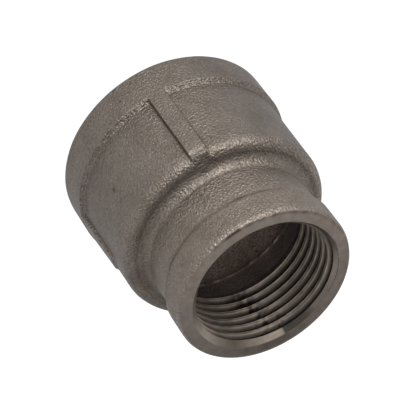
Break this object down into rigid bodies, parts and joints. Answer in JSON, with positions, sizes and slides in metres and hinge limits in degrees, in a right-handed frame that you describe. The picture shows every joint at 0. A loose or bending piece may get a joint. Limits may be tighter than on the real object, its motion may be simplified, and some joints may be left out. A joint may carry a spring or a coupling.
{
  "type": "reducing pipe coupling",
  "caption": "Cast stainless reducing pipe coupling, a large and a small parallel-threaded socket joined by a rounded shoulder, with bands, grip ribs and chamfered mouths.",
  "frame": {"origin": "centre of the large end's face, on the common axis of both sockets", "axes": "+Z along the axis from the large end to the small end, +X through one grip rib"},
  "size_m": [0.05, 0.05, 0.0495],
  "materials": {
    "cast_stainless": "shot-blasted investment casting, machined at the mouths and threads"
  },
  "bodies": {
    "root": {"coupling_body": "cast_stainless"}
  },
  "joints": []
}
